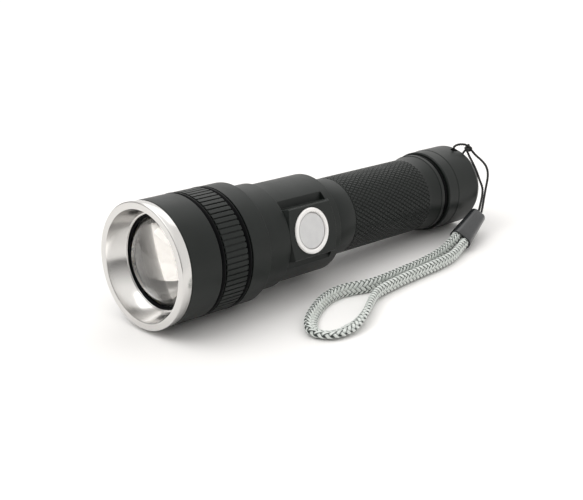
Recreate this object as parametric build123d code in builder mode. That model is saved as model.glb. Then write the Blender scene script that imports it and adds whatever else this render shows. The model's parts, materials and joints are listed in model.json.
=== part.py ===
from build123d import *
import os
from math import atan2, cos, degrees, hypot, pi, radians, sin, tan

# Hand torch with a zooming head, a side switch on a raised pad, a knurled battery tube,
# a screw-on tail cap and a braided wrist strap on a thin string.
#
# Frame: +Z up, the torch lies on the floor (z = 0), the beam leaves towards -Y, the switch
# faces +X. A station is a distance along the torch's own axis, from the bezel's front rim
# towards the tail. The axis slopes down to the tail, because the head is wider than the tail.

# ---------------------------------------------------------------- driving dimensions, mm
# fits and clearances
running_gap = 0.05
zoom_rest_gap = 0.1
tail_rest_gap = 0.1
seat_gap = 0.1
ring_play = 0.1
groove_side_play = 0.15
cell_play = 0.4
board_play = 0.2
cap_play = 0.15
pocket_play = 0.25

# head: lengths along the axis, and radii
head_radius = 18.8
bezel_step = 0.2
bezel_taper = 0.25
bezel_band = 3.5
rim_face = 2.2
head_front_land = 11.05
grip_ring_section = 0.95
grip_band = 8.15
head_rear_land = 7.4
groove_wall = 1.05
knurl_grooves = 68
knurl_depth = 0.4
knurl_groove_width = 0.5
edge_break = 0.35

# optics
rim_to_cone_foot = 6.2
cone_foot_radius = 14.9
lip_radius = 14.4
lip_length = 0.5
shank_wall = 1.7
gasket_bore = 13.4
gasket_thickness = 1.1
lens_dome_rise = 6.0
lens_edge_step = 0.5
lens_flange_radius = 15.6
lens_flange_thickness = 2.5
lens_shoulder = 1.5
lens_window_radius = 14.6

# zoom slide
zoom_travel = 9.0
rear_lip_length = 3.2
stop_ring_height = 0.55
stop_ring_width = 1.6
stop_ring_depth = 0.8
zoom_seal_radius = 0.8
zoom_seal_setback = 0.9
neck_lead = 3.5
neck_wall = 2.05

# light source
pill_wall = 1.6
pill_plate = 2.5
pill_length = 10.0
lead_radius = 0.55
lead_hole_radius = 0.8
led_lead_offset = 5.5
supply_lead_offset = 4.0
led_board_radius = 8.0
led_board_thickness = 1.2
led_base = 3.5
led_base_thickness = 0.7
led_dome_radius = 1.5
guide_bore = 2.8
guide_radius = 4.2
guide_thickness = 0.6
driver_setback = 4.5
driver_thickness = 1.4

# cell, and the stack that holds it from the contact board to the tail cap's floor
cell_radius = 9.2
cell_length = 65.0
cell_nub_radius = 2.9
cell_nub_height = 1.5
contact_board_setback = 12.9
contact_board_thickness = 1.6
contact_spring_height = 5.9
contact_spring_radius = 3.0
contact_spring_turns = 3.5
spring_wire_radius = 0.45
tail_spring_height = 7.95
tail_spring_radius = 4.6
tail_spring_turns = 4.0
tail_contact_radius = 8.0
tail_contact_thickness = 0.8
tail_floor_thickness = 5.1

# battery tube and tail cap
tube_wall = 3.0
spigot_wall = 1.8
tail_spigot_wall = 2.6
spigot_length = 6.3
tail_spigot_length = 8.7
tube_collar_step = 0.15
tube_collar_length = 10.1
flare_land = 1.6
flare_length = 4.2
flare_step = 0.7
tube_ring_step = 0.9
tube_ring_length = 1.6
tail_seal_section = 0.9
tail_front_step = 1.5
tail_front_length = 5.0
tail_step = 1.65
tail_length = 17.7
tail_chamfer_radial = 0.85
tail_chamfer_axial = 1.8
tail_dish_radius = 8.5
tail_dish_depth = 0.5

# switch body, and its side switch: heights are along the switch's own axis
collar_radius = 16.7
collar_length = 10.1
switch_radius = 15.9
switch_rear_chamfer = 0.6
inner_bore_step = 1.0
switch_roll = 13.1
switch_front_land = 2.15
switch_rear_land = 7.05
ring_outer = 7.15
ring_width = 1.4
ring_depth = 2.04
ring_proud = 0.5
ring_bevel = 0.3
flat_wall = 0.45
flat_rear_setback = 3.9
pad_rise = 4.54
pad_side_wall = 0.9
pad_root = 0.3
pad_front_lean = 1.0
pad_rear_lean = 2.4
pad_rear_setback = 2.9
pad_corner_margin = 0.1
pocket_step = 0.4
pocket_floor_wall = 0.8
cap_proud = 0.16
cap_bevel = 0.3
cap_flange_thickness = 0.9
cap_recess_radius = 4.8
cap_recess_depth = 0.8
switch_board_thickness = 0.6
tact_side = 6.0
tact_height = 1.6
tact_bore = 1.75
tact_bore_depth = 1.2
plunger_radius = 1.65
plunger_entry = 0.6

# strap
strap_diameter = 3.4
string_diameter = 0.9
lanyard_hole_radius = 1.1
lanyard_rear_inset = 3.26
lanyard_rear_angle = 15.5
lanyard_side_setback = 3.7
lanyard_side_angle = 14.1
lanyard_overrun = 0.5
knot_radius = 1.25
knot_centre = Vector(6.5, 75.0, 28.0)
sleeve_mouth_size = (8.0, 4.5)
sleeve_top_size = (6.0, 3.6)
sleeve_wall = 0.45
sleeve_pocket = 2.0
sleeve_roll = 35.0
string_hole_radius = 0.5
string_hole_depth = 2.0
string_spacing = 1.4
sleeve_mouth = Vector(24.0, 47.5, 4.1)
sleeve_top = Vector(17.5, 66.3, 7.3)

# ---------------------------------------------------------------- radii and lengths that follow
ring_groove = 2 * grip_ring_section + groove_side_play
groove_floor = head_radius - 2 * grip_ring_section + ring_play
barrel_bore = groove_floor - groove_wall
stop_ring_radius = barrel_bore - ring_play
neck_radius = stop_ring_radius - stop_ring_height
pill_radius = neck_radius - neck_wall - running_gap
bezel_radius = head_radius + bezel_step
shank_bore = lens_flange_radius + seat_gap
shank_radius = shank_bore + shank_wall
lens_dome_radius = gasket_bore - seat_gap

tube_bore = cell_radius + cell_play
spigot_radius = tube_bore + spigot_wall
inner_bore = spigot_radius - inner_bore_step
tail_spigot_radius = tube_bore + tail_spigot_wall
grip_radius = tube_bore + tube_wall
tube_collar_radius = grip_radius + tube_collar_step
tube_ring_radius = grip_radius + tube_ring_step
tail_front_radius = grip_radius + tail_front_step
tail_radius = grip_radius + tail_step
tail_rim_radius = tail_radius - tail_chamfer_radial
tail_seal_groove = 2 * tail_seal_section + running_gap

flat_height = spigot_radius + running_gap + flat_wall
pad_height = flat_height + pad_rise
pad_half_width = ring_outer + pad_side_wall
switch_length = switch_front_land + 2 * ring_outer + switch_rear_land

# ---------------------------------------------------------------- stations, from the sizes
groove_1 = bezel_band + head_front_land
groove_1_end = groove_1 + ring_groove
groove_2 = groove_1_end + grip_band
groove_2_end = groove_2 + ring_groove
head_end = groove_2_end + head_rear_land
collar_front = head_end + zoom_rest_gap
collar_end = collar_front + collar_length
switch_end = collar_end + switch_length
contact_board_front = switch_end - contact_board_setback
contact_board_end = contact_board_front + contact_board_thickness
cell_front = contact_board_end + contact_spring_height + seat_gap + cell_nub_height
cell_end = cell_front + cell_length
tail_spring_start = cell_end + seat_gap
tail_floor = tail_spring_start + tail_spring_height + tail_contact_thickness
tail_end = tail_floor + tail_floor_thickness
tail_front = tail_end - tail_length
tail_seal_end = tail_front - tail_rest_gap
tube_ring_end = tail_seal_end - tail_seal_groove
flare_end = tube_ring_end - tube_ring_length
flare_front = flare_end - flare_length
grip_end = flare_front - flare_land
grip_front = switch_end + tube_collar_length

# ---------------------------------------------------------------- the torch's axis
# it rests on the rear edge of the head and on the rear edge of the tail cap's cylinder
tail_contact_station = tail_end - tail_chamfer_axial
head_contact_station = head_end - edge_break
tilt = atan2(head_radius - tail_radius, tail_contact_station - head_contact_station)
half_length = (tail_end * cos(tilt) + (tail_rim_radius - bezel_radius) * sin(tilt)) / 2
front_point = Vector(0, -half_length, head_radius * cos(tilt) + head_contact_station * sin(tilt))
to_tail = Vector(0, cos(tilt), -sin(tilt))
across = Vector(1, 0, 0)
to_top = Vector(0, sin(tilt), cos(tilt))
beam = Axis(front_point, to_tail)
profile = Plane(origin=front_point, x_dir=to_tail, z_dir=across)


def cross_plane(station):
    """The plane square to the axis at a station: its X is +X, its normal points to the tail."""
    return Plane(origin=front_point + to_tail * station, x_dir=across, z_dir=to_tail)


switch_station = collar_end + switch_front_land + ring_outer
switch_centre = front_point + to_tail * switch_station
roll = radians(switch_roll)
switch_out = across * cos(roll) + to_top * sin(roll)
switch_axis = Axis(switch_centre, switch_out)
switch_plane = Plane(origin=switch_centre, x_dir=to_tail, z_dir=switch_out)
switch_profile = Plane(origin=switch_centre, x_dir=to_tail, z_dir=to_tail.cross(switch_out))


def round_point(station, radius, angle):
    """The point at a station and radius, at an angle in degrees from the top towards +X."""
    outward = across * sin(radians(angle)) + to_top * cos(radians(angle))
    return front_point + to_tail * station + outward * radius


def turned(outline, plane=profile, axis=beam, mode=Mode.ADD):
    """Turn an outline of (station, radius) points about the torch's axis, or of (radius, height)
    points about the switch's axis, in the part that is being built."""
    with BuildSketch(plane) as section:
        with BuildLine():
            Polyline(*outline, close=True)
        make_face()
    revolve(section.sketch, axis=axis, mode=mode)


def ring_section(station, radius, section_radius):
    """A round section turned about the torch's axis, such as an O-ring."""
    with BuildSketch(profile) as section:
        with Locations((station, radius)):
            Circle(section_radius)
    revolve(section.sketch, axis=beam)


def finish(part, name):
    part.label = name
    export_step(part, "parts/" + name + ".step")


os.makedirs("parts", exist_ok=True)

# ---------------------------------------------------------------- head: bezel, lens, barrel
gasket_front = rim_to_cone_foot + lip_length
lens_front = gasket_front + gasket_thickness
lens_rear = lens_front + lens_flange_thickness

with BuildPart() as bezel:
    turned([
        (0, bezel_radius - rim_face),
        (0, bezel_radius - edge_break),
        (edge_break, bezel_radius),
        (bezel_band, bezel_radius - bezel_taper),
        (bezel_band, shank_radius),
        (lens_rear, shank_radius),
        (lens_rear, shank_bore),
        (gasket_front, shank_bore),
        (gasket_front, lip_radius),
        (rim_to_cone_foot, lip_radius),
        (rim_to_cone_foot, cone_foot_radius),
    ])
finish(bezel.part, "bezel")

with BuildPart() as lens_gasket:
    turned([
        (gasket_front, gasket_bore),
        (gasket_front, lens_flange_radius),
        (lens_front, lens_flange_radius),
        (lens_front, gasket_bore),
    ])
finish(lens_gasket.part, "lens_gasket")

with BuildPart() as lens:
    dome_foot = lens_front - lens_edge_step
    with BuildSketch(profile) as lens_half:
        with BuildLine():
            rise = lens_dome_rise
            dome_curve = (lens_dome_radius**2 + rise**2) / (2 * rise)
            apex = (dome_foot - rise, 0)
            mid_angle = atan2(lens_dome_radius, dome_curve - rise) / 2
            dome_centre = dome_foot - rise + dome_curve
            middle = (dome_centre - dome_curve * cos(mid_angle), dome_curve * sin(mid_angle))
            ThreePointArc(apex, middle, (dome_foot, lens_dome_radius))
            Polyline(
                (dome_foot, lens_dome_radius),
                (lens_front, lens_dome_radius),
                (lens_front, lens_flange_radius),
                (lens_rear, lens_flange_radius),
                (lens_rear, 0),
                apex,
            )
        make_face()
    revolve(lens_half.sketch, axis=beam)
finish(lens.part, "lens")

shoulder_end = lens_rear + lens_shoulder

with BuildPart() as head_barrel:
    turned([
        (bezel_band, shank_radius + running_gap),
        (bezel_band, head_radius - edge_break),
        (bezel_band + edge_break, head_radius),
        (groove_1, head_radius),
        (groove_1, groove_floor),
        (groove_1_end, groove_floor),
        (groove_1_end, head_radius),
        (groove_2, head_radius),
        (groove_2, groove_floor),
        (groove_2_end, groove_floor),
        (groove_2_end, head_radius),
        (head_contact_station, head_radius),
        (head_end, head_radius - edge_break),
        (head_end, neck_radius + running_gap),
        (head_end - rear_lip_length, neck_radius + running_gap),
        (head_end - rear_lip_length, barrel_bore),
        (shoulder_end, barrel_bore),
        (shoulder_end, lens_window_radius),
        (lens_rear, lens_window_radius),
        (lens_rear, shank_radius + running_gap),
    ])
    with BuildSketch(cross_plane(groove_1_end)):
        with PolarLocations(head_radius - knurl_depth / 2, knurl_grooves):
            Rectangle(knurl_depth, knurl_groove_width)
    extrude(amount=grip_band, mode=Mode.SUBTRACT)
finish(head_barrel.part, "head_barrel")

ring_centre_radius = groove_floor + grip_ring_section
for name, start in (("grip_ring_front", groove_1), ("grip_ring_rear", groove_2)):
    with BuildPart() as grip_ring:
        ring_section(start + ring_groove / 2, ring_centre_radius, grip_ring_section)
    finish(grip_ring.part, name)

# ---------------------------------------------------------------- switch body and its neck
stop_ring_end = head_end - rear_lip_length - zoom_travel
stop_ring_start = stop_ring_end - stop_ring_width
neck_front = stop_ring_start - neck_lead
stop_ring_floor = neck_radius - stop_ring_depth
seal_start = neck_front + zoom_seal_setback
seal_end = seal_start + 2 * zoom_seal_radius
seal_floor = barrel_bore - running_gap - 2 * zoom_seal_radius
pill_end = neck_front + pill_length
socket_front = switch_end - spigot_length - seat_gap
pad_rear_end = switch_end - pad_rear_setback
pad_corner_radius = hypot(pad_height, pad_half_width) + pad_corner_margin
flat_length = switch_length - flat_rear_setback
pocket_radius = ring_outer - pocket_step
pocket_floor = inner_bore + pocket_floor_wall
ring_seat = pad_height - ring_depth

with BuildPart() as switch_pad:
    pad_length = pad_rear_end - collar_end + collar_length / 2
    pad_section = Plane(origin=front_point + to_tail * (pad_rear_end - pad_length),
                        x_dir=switch_out, z_dir=to_tail)
    with BuildSketch(pad_section):
        with BuildLine():
            Polyline(
                (flat_height - pad_root, -pad_half_width),
                (pad_height - edge_break, -pad_half_width),
                (pad_height, edge_break - pad_half_width),
                (pad_height, pad_half_width - edge_break),
                (pad_height - edge_break, pad_half_width),
                (flat_height - pad_root, pad_half_width),
                close=True,
            )
        make_face()
    extrude(amount=pad_length)
    turned(
        [
            (collar_end - pad_root, 0),
            (collar_end - pad_root, collar_radius - pad_root),
            (collar_end, collar_radius - pad_root),
            (collar_end + pad_front_lean, pad_corner_radius),
            (pad_rear_end - pad_rear_lean, pad_corner_radius),
            (pad_rear_end, switch_radius),
            (pad_rear_end, 0),
        ],
        mode=Mode.INTERSECT,
    )

with BuildPart() as switch_body:
    turned([
        (neck_front, pill_radius + running_gap),
        (neck_front, neck_radius),
        (seal_start, neck_radius),
        (seal_start, seal_floor),
        (seal_end, seal_floor),
        (seal_end, neck_radius),
        (stop_ring_start, neck_radius),
        (stop_ring_start, stop_ring_floor),
        (stop_ring_end, stop_ring_floor),
        (stop_ring_end, neck_radius),
        (collar_front, neck_radius),
        (collar_front, collar_radius - edge_break),
        (collar_front + edge_break, collar_radius),
        (collar_end - edge_break, collar_radius),
        (collar_end, collar_radius - edge_break),
        (collar_end, switch_radius),
        (switch_end - switch_rear_chamfer, switch_radius),
        (switch_end, switch_radius - switch_rear_chamfer),
        (switch_end, spigot_radius + running_gap),
        (socket_front, spigot_radius + running_gap),
        (socket_front, inner_bore),
        (pill_end, inner_bore),
        (pill_end, pill_radius + running_gap),
    ])
    with BuildSketch(switch_plane.offset(flat_height)):
        with Locations((collar_end + flat_length / 2 - switch_station, 0)):
            Rectangle(flat_length, 2 * switch_radius)
    extrude(amount=switch_radius, mode=Mode.SUBTRACT)
    add(switch_pad.part)
    with Locations(switch_plane.offset(pad_height)):
        CounterBoreHole(
            radius=pocket_radius,
            counter_bore_radius=ring_outer + running_gap,
            counter_bore_depth=pad_height - ring_seat,
            depth=pad_height - pocket_floor,
        )
finish(switch_body.part, "switch_body")

with BuildPart() as stop_ring:
    turned([
        (stop_ring_start, stop_ring_floor),
        (stop_ring_start, stop_ring_radius),
        (stop_ring_end, stop_ring_radius),
        (stop_ring_end, stop_ring_floor),
    ])
finish(stop_ring.part, "stop_ring")

with BuildPart() as zoom_seal:
    ring_section((seal_start + seal_end) / 2, seal_floor + zoom_seal_radius, zoom_seal_radius)
finish(zoom_seal.part, "zoom_seal")

# ---------------------------------------------------------------- light source
plate_end = neck_front + pill_plate
led_board_front = neck_front - led_board_thickness
led_base_front = led_board_front - led_base_thickness
driver_front = pill_end - driver_setback
driver_end = driver_front + driver_thickness

with BuildPart() as led_pill:
    turned([
        (neck_front, 0),
        (neck_front, pill_radius),
        (pill_end, pill_radius),
        (pill_end, pill_radius - pill_wall),
        (plate_end, pill_radius - pill_wall),
        (plate_end, 0),
    ])
    with BuildSketch(cross_plane(neck_front)):
        with PolarLocations(led_lead_offset, 2):
            Circle(lead_hole_radius)
    extrude(amount=pill_plate, mode=Mode.SUBTRACT)
finish(led_pill.part, "led_pill")

with BuildPart() as led_board:
    with BuildSketch(cross_plane(led_board_front)):
        Circle(led_board_radius)
    extrude(amount=led_board_thickness)
finish(led_board.part, "led_board")

with BuildPart() as led_emitter:
    with BuildSketch(cross_plane(led_base_front)):
        Rectangle(led_base, led_base)
    extrude(amount=led_base_thickness)
    with BuildSketch(profile) as dome_half:
        with Locations((led_base_front, 0)):
            Circle(led_dome_radius)
            Rectangle(led_dome_radius, led_dome_radius, align=(Align.MAX, Align.MIN),
                      mode=Mode.INTERSECT)
    revolve(dome_half.sketch, axis=beam)
finish(led_emitter.part, "led_emitter")

with BuildPart() as led_guide:
    turned([
        (led_board_front - guide_thickness, guide_bore),
        (led_board_front - guide_thickness, guide_radius),
        (led_board_front, guide_radius),
        (led_board_front, guide_bore),
    ])
finish(led_guide.part, "led_guide")

with BuildPart() as driver_board:
    with BuildSketch(cross_plane(driver_front)):
        Circle(pill_radius - pill_wall - seat_gap)
    extrude(amount=driver_thickness)
finish(driver_board.part, "driver_board")

with BuildPart() as led_leads:
    with BuildSketch(cross_plane(neck_front)):
        with PolarLocations(led_lead_offset, 2):
            Circle(lead_radius)
    extrude(amount=driver_front - neck_front)
finish(led_leads.part, "led_leads")

with BuildPart() as supply_leads:
    with BuildSketch(cross_plane(driver_end)):
        with PolarLocations(supply_lead_offset, 2, start_angle=90):
            Circle(lead_radius)
    extrude(amount=contact_board_front - driver_end)
finish(supply_leads.part, "supply_leads")

with BuildPart() as contact_board:
    with BuildSketch(cross_plane(contact_board_front)):
        Circle(inner_bore - board_play)
    extrude(amount=contact_board_thickness)
finish(contact_board.part, "contact_board")


def coil_spring(start, height, radius, turns, name):
    """An open coil spring round the torch's axis, with its wire just inside both ends."""
    run = height - 2 * spring_wire_radius
    first = front_point + to_tail * (start + spring_wire_radius)
    with BuildPart() as spring:
        with BuildLine():
            coil = Helix(pitch=run / turns, height=run, radius=radius,
                         center=first, direction=to_tail)
        with BuildSketch(Plane(origin=coil @ 0, z_dir=coil % 0)):
            Circle(spring_wire_radius)
        sweep(is_frenet=True)
    finish(spring.part, name)


coil_spring(contact_board_end, contact_spring_height, contact_spring_radius,
            contact_spring_turns, "contact_spring")

# ---------------------------------------------------------------- side switch
board_top = pocket_floor + switch_board_thickness
tact_top = board_top + tact_height
flange_bottom = ring_seat - seat_gap - cap_flange_thickness
recess_top = flange_bottom + cap_recess_depth
plunger_bottom = tact_top - plunger_entry
ring_top = pad_height + ring_proud
ring_inner = ring_outer - ring_width
cap_top = pad_height + cap_proud
cap_radius = ring_inner - cap_play
cap_flange_radius = pocket_radius - pocket_play

with BuildPart() as switch_ring:
    turned(
        [
            (ring_inner, ring_seat),
            (ring_outer, ring_seat),
            (ring_outer, ring_top - ring_bevel),
            (ring_outer - ring_bevel, ring_top),
            (ring_inner + ring_bevel, ring_top),
            (ring_inner, ring_top - ring_bevel),
        ],
        plane=switch_profile,
        axis=switch_axis,
    )
finish(switch_ring.part, "switch_ring")

with BuildPart() as button_cap:
    turned(
        [
            (0, cap_top),
            (cap_radius - cap_bevel, cap_top),
            (cap_radius, cap_top - cap_bevel),
            (cap_radius, ring_seat - seat_gap),
            (cap_flange_radius, ring_seat - seat_gap),
            (cap_flange_radius, flange_bottom),
            (cap_recess_radius, flange_bottom),
            (cap_recess_radius, recess_top),
            (0, recess_top),
        ],
        plane=switch_profile,
        axis=switch_axis,
    )
finish(button_cap.part, "button_cap")

with BuildPart() as switch_board:
    with BuildSketch(switch_plane.offset(pocket_floor)):
        Circle(pocket_radius - pocket_play)
    extrude(amount=switch_board_thickness)
finish(switch_board.part, "switch_board")

with BuildPart() as tact_switch:
    with BuildSketch(switch_plane.offset(board_top)):
        Rectangle(tact_side, tact_side)
    extrude(amount=tact_height)
    with Locations(switch_plane.offset(tact_top)):
        Hole(radius=tact_bore, depth=tact_bore_depth)
finish(tact_switch.part, "tact_switch")

with BuildPart() as switch_plunger:
    with BuildSketch(switch_plane.offset(plunger_bottom)):
        Circle(plunger_radius)
    extrude(amount=recess_top - plunger_bottom)
finish(switch_plunger.part, "switch_plunger")

# ---------------------------------------------------------------- battery tube and cell
spigot_front = switch_end - spigot_length
seal_ring_floor = tube_ring_radius - ring_play - 2 * tail_seal_section
tail_spigot_end = tail_seal_end + tail_spigot_length

with BuildPart() as battery_tube:
    turned([
        (spigot_front, tube_bore),
        (spigot_front, spigot_radius),
        (switch_end, spigot_radius),
        (switch_end, tube_collar_radius - edge_break),
        (switch_end + edge_break, tube_collar_radius),
        (grip_front - edge_break, tube_collar_radius),
        (grip_front, grip_radius),
        (flare_front, grip_radius),
        (flare_end, grip_radius + flare_step),
        (flare_end, tube_ring_radius),
        (tube_ring_end, tube_ring_radius),
        (tube_ring_end, seal_ring_floor),
        (tail_seal_end, seal_ring_floor),
        (tail_seal_end, tail_spigot_radius),
        (tail_spigot_end, tail_spigot_radius),
        (tail_spigot_end, tube_bore),
    ])
finish(battery_tube.part, "battery_tube")

with BuildPart() as tail_seal:
    ring_section(tube_ring_end + tail_seal_groove / 2, seal_ring_floor + tail_seal_section,
                 tail_seal_section)
finish(tail_seal.part, "tail_seal")

with BuildPart() as cell:
    turned([
        (cell_front - cell_nub_height, 0),
        (cell_front - cell_nub_height, cell_nub_radius),
        (cell_front, cell_nub_radius),
        (cell_front, cell_radius - edge_break),
        (cell_front + edge_break, cell_radius),
        (cell_end - edge_break, cell_radius),
        (cell_end, cell_radius - edge_break),
        (cell_end, 0),
    ])
finish(cell.part, "cell")

# ---------------------------------------------------------------- tail cap and its contact
# the lanyard hole runs slantwise through the top of the rim, from the rear face to the side
hole_rear = round_point(tail_end + lanyard_overrun, tail_rim_radius - lanyard_rear_inset,
                        lanyard_rear_angle)
hole_side = round_point(tail_end - lanyard_side_setback, tail_radius + lanyard_overrun,
                        lanyard_side_angle)
hole_run = (hole_side - hole_rear).length + 2 * lanyard_hole_radius
hole_way = (hole_side - hole_rear).normalized()

with BuildPart() as tail_cap:
    turned([
        (tail_front, tail_spigot_radius + running_gap),
        (tail_front, tail_front_radius - edge_break),
        (tail_front + edge_break, tail_front_radius),
        (tail_front + tail_front_length, tail_front_radius),
        (tail_front + tail_front_length + edge_break, tail_radius),
        (tail_contact_station, tail_radius),
        (tail_end, tail_rim_radius),
        (tail_end, tail_dish_radius),
        (tail_end - tail_dish_depth, tail_dish_radius - tail_dish_depth),
        (tail_end - tail_dish_depth, 0),
        (tail_floor, 0),
        (tail_floor, tail_spigot_radius + running_gap),
    ])
    with BuildSketch(Plane(origin=hole_rear - hole_way * lanyard_hole_radius, z_dir=hole_way)):
        Circle(lanyard_hole_radius)
    extrude(amount=hole_run, mode=Mode.SUBTRACT)
finish(tail_cap.part, "tail_cap")

with BuildPart() as tail_contact:
    with BuildSketch(cross_plane(tail_floor - tail_contact_thickness)):
        Circle(tail_contact_radius)
    extrude(amount=tail_contact_thickness)
finish(tail_contact.part, "tail_contact")

coil_spring(tail_spring_start, tail_spring_height, tail_spring_radius, tail_spring_turns,
            "tail_spring")

# ---------------------------------------------------------------- sleeve, string and strap
sleeve_way = (sleeve_top - sleeve_mouth).normalized()
sleeve_side = Vector(sleeve_way.Y, -sleeve_way.X, 0).normalized()
sleeve_lift = sleeve_side.cross(sleeve_way)
lean = radians(sleeve_roll)
mouth_plane = Plane(origin=sleeve_mouth, z_dir=sleeve_way,
                    x_dir=sleeve_side * cos(lean) - sleeve_lift * sin(lean))
sleeve_length = (sleeve_top - sleeve_mouth).length

with BuildPart() as sleeve:
    with BuildSketch(mouth_plane):
        SlotOverall(*sleeve_mouth_size)
    with BuildSketch(mouth_plane.offset(sleeve_length)):
        SlotOverall(*sleeve_top_size)
    loft()
    with BuildSketch(mouth_plane):
        SlotOverall(sleeve_mouth_size[0] - 2 * sleeve_wall, sleeve_mouth_size[1] - 2 * sleeve_wall)
    extrude(amount=sleeve_pocket, mode=Mode.SUBTRACT)
    with BuildSketch(mouth_plane.offset(sleeve_length - string_hole_depth)):
        with GridLocations(string_spacing, 0, 2, 1):
            Circle(string_hole_radius)
    extrude(amount=string_hole_depth, mode=Mode.SUBTRACT)
finish(sleeve.part, "sleeve")

# the string's points: out of the sleeve, up behind the tail cap, forward through the lanyard
# hole, back over the rim and down to the sleeve
string_route = [
    (17.65, 64.19, 7.35),
    (16.36, 67.92, 7.99),
    (15.3, 71.9, 10.4),
    (14.0, 74.2, 14.6),
    (11.4, 74.6, 19.6),
    (8.2, 74.7, 24.0),
    (6.2, 74.7, 26.5),
    (4.9, 74.5, 26.9),
    (3.2, 74.0, 25.0),
    (2.7, 72.5, 23.9),
    (3.6, 68.5, 28.6),
    (3.8, 68.9, 29.9),
    (4.5, 71.3, 30.6),
    (5.7, 73.7, 30.0),
    (7.3, 75.6, 28.3),
    (9.1, 76.4, 26.0),
    (11.4, 76.2, 23.5),
    (13.5, 75.7, 20.4),
    (14.7, 75.1, 16.8),
    (15.4, 73.8, 12.9),
    (16.4, 71.4, 9.4),
    (17.39, 68.43, 7.20),
    (18.69, 64.69, 6.56),
]
# the strap's points: out of the sleeve, along the floor, round the loop's tip and back
strap_route = [
    (22.05, 48.75, 5.41),
    (24.0, 43.15, 4.45),
    (25.2, 37.0, 3.15),
    (26.1, 29.5, 2.3),
    (26.9, 21.0, 2.15),
    (27.0, 12.5, 2.15),
    (27.3, 4.5, 2.15),
    (26.9, -3.2, 2.15),
    (24.6, -8.2, 2.15),
    (23.3, -14.0, 2.15),
    (24.9, -21.6, 2.15),
    (28.6, -29.0, 2.15),
    (33.2, -36.2, 2.15),
    (38.6, -40.6, 2.15),
    (43.6, -37.6, 2.15),
    (44.0, -31.0, 2.15),
    (42.6, -24.6, 2.15),
    (38.9, -17.0, 2.15),
    (35.2, -11.0, 2.15),
    (32.4, -5.6, 2.15),
    (31.6, 0.8, 2.15),
    (31.0, 8.4, 2.15),
    (30.7, 17.0, 2.15),
    (30.6, 26.0, 2.15),
    (30.0, 33.5, 2.2),
    (28.8, 38.9, 2.3),
    (26.59, 44.39, 2.58),
    (24.65, 49.99, 3.43),
]
corner_share = 0.45


def corner_radii(route):
    """The arc at each inner point: as large as its two runs allow."""
    points = [Vector(*point) for point in route]
    radii = []
    for before, here, after in zip(points, points[1:], points[2:]):
        turn = radians((here - before).get_angle(after - here))
        shorter = min((here - before).length, (after - here).length)
        radii.append(corner_share * shorter / tan(turn / 2))
    return radii


def cord(route, diameter, name):
    """A round cord along straight runs joined by tangent arcs."""
    radii = corner_radii(route)
    with BuildPart() as tube:
        with BuildLine() as path:
            FilletPolyline(*route, radius=radii)
        track = path.wires()[0]
        with BuildSketch(Plane(origin=track @ 0, z_dir=track % 0)):
            Circle(diameter / 2)
        sweep()
    finish(tube.part, name)
    expected = pi * diameter**2 / 4 * track.length
    print(name, "length", round(track.length, 1), "volume ratio", round(tube.part.volume / expected, 4))
    print(name, "radii", [round(radius, 1) for radius in radii])


cord(string_route, string_diameter, "string")
cord(strap_route, strap_diameter, "strap")

with BuildPart() as string_knot:
    with Locations(knot_centre):
        Sphere(knot_radius)
finish(string_knot.part, "string_knot")

print("tilt in degrees", round(degrees(tilt), 3), "half length", round(half_length, 3))
print("front point", front_point, "switch centre", switch_centre, "switch out", switch_out)
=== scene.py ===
import json
from math import atan2, cos, pi, radians, sin, tanh

import bmesh
import bpy
import numpy as np
from mathutils import Matrix, Quaternion, Vector


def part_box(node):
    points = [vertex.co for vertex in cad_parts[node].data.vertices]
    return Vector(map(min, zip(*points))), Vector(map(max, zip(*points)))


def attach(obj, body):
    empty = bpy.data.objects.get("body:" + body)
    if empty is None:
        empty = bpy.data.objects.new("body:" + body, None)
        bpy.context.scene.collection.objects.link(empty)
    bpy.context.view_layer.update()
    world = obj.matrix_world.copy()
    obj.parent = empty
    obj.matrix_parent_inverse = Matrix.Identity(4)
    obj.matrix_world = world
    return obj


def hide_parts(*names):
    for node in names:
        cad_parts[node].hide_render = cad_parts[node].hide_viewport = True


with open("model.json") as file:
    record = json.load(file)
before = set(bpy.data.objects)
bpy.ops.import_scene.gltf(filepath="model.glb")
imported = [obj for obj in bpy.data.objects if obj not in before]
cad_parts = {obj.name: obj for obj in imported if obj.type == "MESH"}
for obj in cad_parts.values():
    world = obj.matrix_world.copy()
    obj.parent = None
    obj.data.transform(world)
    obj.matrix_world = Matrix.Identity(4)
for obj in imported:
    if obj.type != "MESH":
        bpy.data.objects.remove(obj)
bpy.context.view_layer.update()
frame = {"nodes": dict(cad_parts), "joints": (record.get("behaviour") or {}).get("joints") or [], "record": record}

MM = 0.001

# ------------------------------------------------------------------ the torch's own axis
# A station is a distance in mm along the axis, from the bezel's front rim towards the tail.
GRIP_STATION = 97.0

joints = {joint["name"]: joint for joint in frame["joints"]}
mounts = {mount["name"]: mount for mount in frame["record"]["mounts"]}
across = Vector((1, 0, 0))
to_tail = Vector(joints["tail_cap_off"]["axis"]).normalized()
to_top = across.cross(to_tail)
front_point = Vector(mounts["grip_tube"]["pos_m"]) - to_tail * GRIP_STATION * MM


def at(station, radius=0.0, angle=0.0):
    """The point at a station and radius in mm, at an angle in radians from the top towards +X."""
    outward = across * sin(angle) + to_top * cos(angle)
    return front_point + (to_tail * station + outward * radius) * MM


# ------------------------------------------------------------------ objects and meshes
def add_object(name, data):
    """A new object in the scene, holding the data."""
    item = bpy.data.objects.new(name, data)
    bpy.context.scene.collection.objects.link(item)
    return item


def aim_from(item, place, target):
    """Put the item at a place, looking at a target with its top up."""
    item.location = place
    item.rotation_mode = "QUATERNION"
    item.rotation_quaternion = (Vector(target) - Vector(place)).to_track_quat("-Z", "Y")


def add_mesh(name, vertices, faces, material):
    mesh = bpy.data.meshes.new(name)
    mesh.from_pydata(vertices, [], faces)
    mesh.update()
    mesh.materials.append(material)
    return add_object(name, mesh)


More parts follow.
